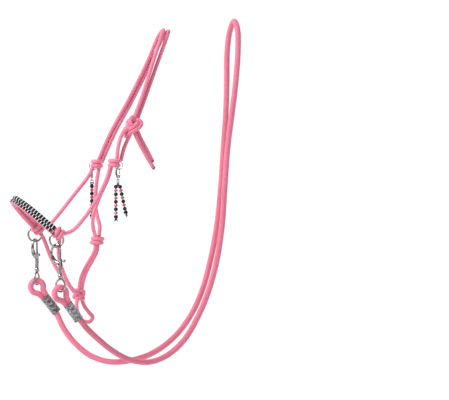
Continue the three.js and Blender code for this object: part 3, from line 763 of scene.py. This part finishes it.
def snap_body_skin():
    """The hook, the slotted barrel and the collar that the swivel turns in."""
    skin = Skin()
    hook = smooth_line(HOOK_ROUTE, 1.2)
    share = np.linspace(0, 1, len(hook))
    thick = SNAP_WIRE / 2 * np.interp(share, (0, 0.3, 0.5, 1), (1.9, 1.75, 1.15, 1.05))
    thick[-4:] *= (1, 0.96, 0.85, 0.62)  # the tip is rounded off
    swept(skin, hook, thick, 18, squash=0.92)
    segments = 40
    slot_half = math.radians(30)
    turn = np.linspace(0, 2 * math.pi, segments, endpoint=False)
    slot_low, slot_high = STUD_HEIGHT - STUD_TRAVEL - 2, STUD_HEIGHT + 2
    heights = [-53, -50, -45, -40, slot_low, -33, -30, -27, slot_high, -24, -23.4, BARREL_TOP]
    radii = [BARREL_RADIUS] * 11 + [BARREL_RADIUS - 0.5]
    for r_shift in (0, BORE_RADIUS - BARREL_RADIUS):
        points = [[((r + r_shift) * math.cos(a) + BARREL_OFFSET, (r + r_shift) * math.sin(a), z)
                   for a in turn] for r, z in zip(radii, heights)]
        faces = []
        for i in range(len(heights) - 1):
            slotted = slot_low <= heights[i] < slot_high
            for k in range(segments):
                middle = (turn[k] + math.pi / segments + math.pi) % (2 * math.pi) - math.pi
                if slotted and abs(middle) < slot_half:
                    continue
                n = (k + 1) % segments
                face = (i * segments + k, i * segments + n, (i + 1) * segments + n,
                        (i + 1) * segments + k)
                faces.append(face if r_shift == 0 else face[::-1])
        skin.add(points, faces)
    turned(skin, [(BORE_RADIUS, BARREL_TOP), (BARREL_RADIUS - 0.5, BARREL_TOP)], segments,
           (BARREL_OFFSET, 0, 0))
    # a raised band round the barrel, then the collar with rounded shoulders
    turned(skin, [(3.6, -39.4), (4.0, -39.1), (4.1, -38.6), (4.0, -38.1), (3.6, -37.8)], 40,
           (BARREL_OFFSET, 0, 0))
    turned(skin, [(1.9, -58.5), (1.9, -60.5), (4.1, -60.5), (4.6, -60.0), (4.75, -57.5),
                  (4.6, -55.0), (4.1, -54.0), (3.6, -53.2), (3.6, -52.0)], 40,
           (BARREL_OFFSET, 0, 0))
    return skin


def snap_bolt_skin():
    skin = Skin()
    turned(skin, [(0.01, BOLT_BOTTOM), (1.9, BOLT_BOTTOM), (1.9, BOLT_TOP - 0.9),
                  (1.6, BOLT_TOP - 0.3), (1.1, BOLT_TOP), (0.01, BOLT_TOP)], 28,
           (BARREL_OFFSET, 0, 0))
    turned(skin, [(1.3, 0), (1.3, 7.6), (2.7, 7.8), (3.0, 8.3), (3.0, 10.1), (2.6, 10.7),
                  (1.6, 11.1), (0.01, 11.2)], 24, (BARREL_OFFSET, 0, STUD_HEIGHT), (1, 0, 0))
    return skin


def swivel_eye_skin():
    skin = Skin()
    turned(skin, [(0.01, -63.9), (2.6, -63.0), (3.15, -62.2), (3.1, -61.7), (1.5, -60.9),
                  (1.5, -58.1), (2.5, -58.0), (2.5, -55.6), (0.01, -55.5)], 28,
           (BARREL_OFFSET, 0, 0))
    oval = oval_line(EYE_WIDE, EYE_HIGH, EYE_LOW, 72) + np.array((BARREL_OFFSET, 0, EYE_CENTRE))
    turn = np.linspace(0, 2 * math.pi, 72, endpoint=False)
    # the eye is cast thicker where it meets the post
    thick = EYE_WIRE / 2 + 0.45 * np.exp(-((turn - math.pi / 2) / 0.4) ** 2)
    swept(skin, oval, thick, 18, closed=True, squash=0.95)
    return skin


def rein_end_place(side):
    turn = math.radians(side["snap_turn"])
    x, y, z = side["hook"]
    rope_on_eye = REIN_ROPE / 2 + EYE_WIRE / 2 + ROPE_ON_EYE
    middle = (x + BARREL_OFFSET * math.cos(turn), y + BARREL_OFFSET * math.sin(turn),
              z + EYE_CENTRE - EYE_LOW + rope_on_eye - LOOP_RADIUS)
    return turned_place(middle, side["loop_turn"]) @ Matrix.Rotation(-REIN_LEAN, 4, "Y")


FERRULE_TOP = -26
FERRULE_LENGTH = 39
FERRULE_WIDTH = 19.4
FERRULE_DEPTH = 14.4
DENTS = (-9, -19.5, -30)  # where the jaws closed, down from the ferrule's top
DENT_WIDTH = 2.6


def slot_outline(width, depth, count):
    """An outline with two straight sides and two round ends, evenly stepped."""
    half = (width - depth) / 2
    perimeter = 4 * half + math.pi * depth
    points = []
    for k in range(count):
        s = k / count * perimeter
        if s < 2 * half:
            points.append((half - s, depth / 2))
        elif s < 2 * half + math.pi * depth / 2:
            a = (s - 2 * half) / (depth / 2)
            points.append((-half - depth / 2 * math.sin(a), depth / 2 * math.cos(a)))
        elif s < 4 * half + math.pi * depth / 2:
            points.append((-half + s - 2 * half - math.pi * depth / 2, -depth / 2))
        else:
            a = (s - 4 * half - math.pi * depth / 2) / (depth / 2)
            points.append((half + depth / 2 * math.sin(a), -depth / 2 * math.cos(a)))
    return points


def make_ferrule(side_name, place):
    """A tube pressed flat on both ropes, dented by the crimping jaws, with rolled edges."""
    outline = slot_outline(FERRULE_WIDTH, FERRULE_DEPTH, 56)
    mouth = [0, -0.5, -1.2, -2.0]
    heights = mouth + list(np.linspace(-3, 3 - FERRULE_LENGTH, 36))
    heights += [-FERRULE_LENGTH - h for h in mouth[::-1]]
    points = []
    for h in heights:
        edge = min(-h, FERRULE_LENGTH + h)
        rolled = 0.35 * max(0, 1 - abs(edge - 0.7) / 0.9)
        dent = sum(math.exp(-((h - c) / DENT_WIDTH) ** 2) for c in DENTS)
        for x, y in outline:
            flat = max(0, 1 - (x / 7.5) ** 2)
            scale = 1 + rolled / 9 - 0.12 * dent * flat * (abs(y) > 3)
            points.append((x * (1 + rolled / 12), y * scale, FERRULE_TOP + h))
    inside = [(x * 0.9, y * 0.87, z) for x, y, z in points]
    faces, maps = wall(len(heights), len(outline))
    skin = Skin()
    skin.add(points, [face[::-1] for face in faces], maps=maps)
    skin.add(inside, faces, maps=maps)
    count, last, deep = len(outline), (len(heights) - 1) * len(outline), len(points)
    lip = []
    for k in range(count):
        n = (k + 1) % count
        lip += [(k, n, deep + n, deep + k), (last + n, last + k, deep + last + k, deep + last + n)]
    skin.add(points + inside, lip)
    make_piece(f"{side_name}_rein_ferrule_tube", skin, [CRIMPED], "reins",
               [f"{side_name}_rein_ferrule"], place)


def make_rein_loop(side_name, place):
    leg = [(-4, 0, -36), (-4, 0, -30), (-5, 0, -19), (-6.3, 0, -12.8)]
    points = list(leg)
    for degrees in range(208, -29, -26):
        angle = math.radians(degrees)
        points.append((0.98 * LOOP_RADIUS * math.cos(angle), 0, LOOP_RADIUS * math.sin(angle)))
    points += [(-x, y, z) for x, y, z in leg[::-1]]

    def slim(share):
        """The two legs are squeezed as they enter the ferrule."""
        end = np.minimum(share, 1 - share)
        return 0.82 + 0.18 * np.clip((end - 0.06) / 0.12, 0, 1)

    skin = Skin()
    braided_rope(skin, points, REIN_ROPE, slim=slim)
    # inside the ferrule, the squeezed rope fills both halves of the tube down to its lower mouth
    for x in (3.2, -3.2):
        braided_rope(skin, [(x, 0, -36), (x, 0.3, -50), (x, 0, -64.2)], 10.2)
    make_piece(f"{side_name}_rein_loop_braid", skin, [REIN], "reins",
               [f"{side_name}_rein_loop"], place)


def make_sides():
    for side_name, side in SIDES.items():
        make_nose_ring(side_name, side)
        hung = turned_place(side["hook"], side["snap_turn"])
        for node, skin, body in (
            ("snap_body", snap_body_skin(), "snap"),
            ("snap_bolt", snap_bolt_skin(), "bolt"),
            ("swivel_eye", swivel_eye_skin(), "eye"),
        ):
            make_piece(f"{side_name}_{node}_casting", skin, [NICKEL], f"{side_name}_{body}",
                       [f"{side_name}_{node}"], hung)
        spring = bpy.data.objects[f"{side_name}_snap_spring"]
        spring.data.materials.clear()
        spring.data.materials.append(SPRING)
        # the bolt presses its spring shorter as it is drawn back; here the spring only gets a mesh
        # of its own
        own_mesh(spring)
        place = rein_end_place(side)
        make_rein_loop(side_name, place)
        make_ferrule(side_name, place)


# ---- bead charms ----
LINK_HEIGHT = -24.2
STRING_LOOP_HEIGHT = -28
BEAD_TOP = -34
FRAYS = 20  # threads at the end of a string
LEVER_PIN = (2.2, 0, -12.4)


def clasp_skin():
    """A small trigger clasp: claw, round boss, neck and swivel eye."""
    skin = Skin()
    claw = smooth_line([(-1.4, 0, -12.7), (-3.8, 0, -10), (-4.5, 0, -5), (-3.5, 0, 0.5),
                        (0, 0, 3.2), (3.3, 0, 1), (3.9, 0, -2.4)], 0.8)
    thick = np.interp(np.linspace(0, 1, len(claw)), (0, 0.45, 0.7, 1), (2.1, 1.7, 1.1, 1))
    thick[-2:] *= (0.9, 0.6)
    swept(skin, claw, thick, 12)
    for y in (-1.95, 1.15):
        turned(skin, [(0.01, y), (3.2, y), (3.6, y + 0.25), (3.6, y + 0.6), (3.2, y + 0.8),
                      (0.01, y + 0.8)], 28, (0.4, 0, -13.2), (0, 1, 0))
    turned(skin, [(0.01, -1.2), (2.2, -1.2), (2.2, 1.2), (0.01, 1.2)], 24, (-0.6, 0, -13.4),
           (0, 1, 0))
    turned(skin, [(0.01, -2.2), (0.6, -2.2), (0.7, -2.0), (0.7, 2.0), (0.6, 2.2), (0.01, 2.2)],
           12, LEVER_PIN, (0, 1, 0))
    turned(skin, [(1.0, -19.2), (1.35, -18.8), (1.35, -18.0), (0.9, -17.5), (0.9, -16.8),
                  (1.5, -16.2), (1.5, -15.4), (1.2, -14.6)], 20)
    swept(skin, circle_line(2.3, (0, 0, -20.4), (1, 0, 0), (0, 0, 1), 36), 0.75, 10, closed=True)
    return skin


def lever_skin():
    skin = Skin()
    blade = smooth_line([(2.4, 0, -12.4), (3.6, 0, -9.5), (3.8, 0, -6), (3.8, 0, -3.3)], 0.7)
    swept(skin, blade, 0.8, 10)
    thumb = smooth_line([(3.4, 0, -10.2), (4.8, 0, -10.6), (6.2, 0, -10.2)], 0.5)
    swept(skin, thumb, np.linspace(0.75, 0.55, len(thumb)), 10)
    turned(skin, [(0.85, -0.8), (1.3, -0.8), (1.3, 0.8), (0.85, 0.8)], 18, LEVER_PIN, (0, 1, 0))
    return skin


def bead_profile(radius, hole, squash):
    """A bead from its lower hole to its upper one, centred on nought."""
    low = math.asin(hole / radius)
    turns = np.linspace(math.pi - low, low, 9)
    return [(radius * math.sin(a), radius * squash * math.cos(a)) for a in turns]


def string_skin(string, charm):
    """Beads on a waxed cord, which is looped on the link above and knotted and frayed below."""
    skin = Skin()
    across = math.radians(charm["clasp_turn"] + 90 - charm["turn"])
    way = np.array((math.cos(across), math.sin(across), 0))
    loop_at = string["root"] * way + np.array((0, 0, STRING_LOOP_HEIGHT))
    first = np.array((string["top"], 0, BEAD_TOP), float)
    down = np.array((string["lean"], 0, -math.sqrt(1 - string["lean"] ** 2)))
    side = np.cross(down, (0, 1, 0))
    middle = (loop_at[0] + first[0]) / 2
    end = first + down * (string["beads"] * BEAD_PITCH + 2)
    swept(skin, circle_line(2, loop_at, way, (0, 0, 1), 24), 0.62, 8, closed=True)
    cord = [loop_at + (0, 0, -2), (middle, loop_at[1] / 2, BEAD_TOP + 2.5), first, end]
    swept(skin, smooth_line(cord, 0.8), BEAD_CORD / 2, 8)
    # a wrapped whipping where the loop closes
    turned(skin, [(0.7, -1.6), (1.05, -1.3), (1.05, 1.3), (0.7, 1.6)], 12,
           loop_at + (0, 0, -2.6))
    for n in range(string["beads"]):
        centre = first + down * n * BEAD_PITCH
        if n % 2:
            profile = bead_profile(PINK_BEAD / 2, 0.8, 0.76)[::2]
            turned(skin, profile[::-1], 9, centre, down, finish=2, flat=True)
        else:
            profile = bead_profile(BLACK_BEAD / 2, 0.8, 0.96)
            turned(skin, profile[::-1], 24, centre, down, finish=1)
    # the stopper knot: two small turns of cord
    knot = first + down * (string["beads"] * BEAD_PITCH - 0.8)
    turn_line = []
    for t in np.linspace(0, 4 * math.pi, 20):
        turn_line.append(knot + 2.5 * (math.cos(t) * side + math.sin(t) * np.array((0, 1, 0)))
                         + down * (t / (4 * math.pi) * 3.6 - 1.2 + 0.4 * math.sin(t)))
    swept(skin, smooth_line(turn_line, 0.5), 1.7, 8)
    for _ in range(FRAYS):
        angle = chance.uniform(0, 2 * math.pi)
        spread = chance.uniform(1.0, 4.0)
        reach = chance.uniform(6.5, 10.5)
        out = spread * (math.cos(angle) * side + math.sin(angle) * np.array((0, 1, 0)))
        strand = [knot + down * 1.5 + 0.2 * out, knot + down * (0.55 * reach) + 0.45 * out,
                  knot + down * reach + out]
        line = smooth_line(strand, 1.2)
        swept(skin, line, np.linspace(0.6, 0.25, len(line)), 5)
    return skin


def make_charms():
    for side_name, charm in CHARMS.items():
        x, y, z = charm["ring"]
        ring = Skin()
        swept(ring, circle_line(CHARM_RING_RADIUS, (x, y, z), (1, 0, 0), (0, 0, 1), 72),
              CHARM_RING_WIRE / 2, 12, closed=True)
        make_piece(f"{side_name}_charm_ring_wire", ring, [NICKEL], f"{side_name}_key_ring",
                   [f"{side_name}_charm_ring"])
        angle = math.radians(charm["hook_angle"])
        hook = (x + CHARM_RING_RADIUS * math.cos(angle), y,
                z + CHARM_RING_RADIUS * math.sin(angle))
        clasp_place = turned_place(hook, charm["clasp_turn"])
        link = Skin()
        swept(link, circle_line(3.6, (0, 0, LINK_HEIGHT), (0, 1, 0), (0, 0, 1), 40), 0.6, 10,
              closed=True)
        for node, skin, body in (
            ("charm_clasp", clasp_skin(), "clasp"),
            ("charm_link", link, "clasp"),
            ("charm_lever", lever_skin(), "lever"),
        ):
            make_piece(f"{side_name}_{node}_casting", skin, [NICKEL], f"{side_name}_{body}",
                       [f"{side_name}_{node}"], clasp_place)
        for length, string in STRINGS.items():
            make_piece(f"{side_name}_{length}_string_beads", string_skin(string, charm),
                       [WAXED_CORD, BLACK_GLASS, PINK_GLASS], f"{side_name}_{length}_string",
                       [f"{side_name}_bead_string_{length}"],
                       turned_place(hook, charm["turn"]))


# ---- studio ----
FLOOR_DROP = 0.25
SUN_FROM = Vector((-0.67, -0.1, 0.75))
SUN_STRENGTH = 2.7
SUN_WIDTH = math.radians(22)
KEY_LAMP = {"at": (-2.4, -1.1, 2.1), "size": 0.7, "watts": 30}
BACK_LAMP = {"at": (0.9, 2.4, 1.8), "size": 1.4, "watts": 18}
DIM_SIDE = (-0.34, -0.94, 0)  # towards the camera's side of the room
SKY_STRENGTH = 1.05


def make_floor():
    size = 30
    mesh = bpy.data.meshes.new("floor")
    z = cad_low.z - FLOOR_DROP
    mesh.from_pydata([(-size, -size, z), (size, -size, z), (size, size, z), (-size, size, z)],
                     [], [(0, 1, 2, 3)])
    floor = bpy.data.objects.new("floor", mesh)
    bpy.context.collection.objects.link(floor)
    # matt emulsion on board: no highlight, so the ground stays even
    paint, _, _ = start_finish("matt_white_paint", {
        "Base Color": colour("#ffffff"), "Roughness": 0.9})
    mesh.materials.append(paint)


def area_light(name, at, size, watts):
    data = bpy.data.lights.new(name, "AREA")
    data.size = size
    data.energy = watts
    light = bpy.data.objects.new(name, data)
    light.location = at
    middle = (cad_low + cad_high) / 2
    light.rotation_euler = (Vector(at) - middle).to_track_quat("Z", "Y").to_euler()
    bpy.context.collection.objects.link(light)


def sun_light():
    data = bpy.data.lights.new("sun_lamp", "SUN")
    data.energy = SUN_STRENGTH
    data.angle = SUN_WIDTH
    lamp = bpy.data.objects.new("sun_lamp", data)
    lamp.rotation_euler = SUN_FROM.to_track_quat("Z", "Y").to_euler()
    bpy.context.collection.objects.link(lamp)


def pale_world():
    """White all round, but dimmer overhead and a little in front, for the metal to mirror."""
    world = bpy.data.worlds.new("pale_world")
    world.use_nodes = True
    tree = world.node_tree
    tree.nodes.clear()
    way = add(tree, "ShaderNodeTexCoord").outputs["Generated"]
    front = add(tree, "ShaderNodeVectorMath", {"operation": "DOT_PRODUCT", 1: DIM_SIDE},
                {0: way}).outputs["Value"]
    above = add(tree, "ShaderNodeVectorMath", {"operation": "DOT_PRODUCT", 1: (0, 0, 1)},
                {0: way}).outputs["Value"]
    front = ranged(tree, front, {"From Min": 0.5, "From Max": 0.8, "To Max": 0.6})
    above = ranged(tree, above, {"From Min": 0.5, "From Max": 0.75})
    dim = add(tree, "ShaderNodeMath", {"operation": "MAXIMUM"}, {0: front, 1: above}).outputs[0]
    sky = add(tree, "ShaderNodeBackground", {"Strength": SKY_STRENGTH},
              {"Color": mixed(tree, dim, "#ffffff", "#4a4a4e")})
    add(tree, "ShaderNodeOutputWorld", links={"Surface": sky.outputs[0]})
    bpy.context.scene.world = world


def make_studio():
    make_floor()
    sun_light()
    area_light("key", **KEY_LAMP)
    area_light("back", **BACK_LAMP)
    pale_world()
    bpy.context.scene.view_settings.view_transform = "Standard"


make_strands()
make_knots()
make_lacing()
make_sides()
make_charms()
make_studio()
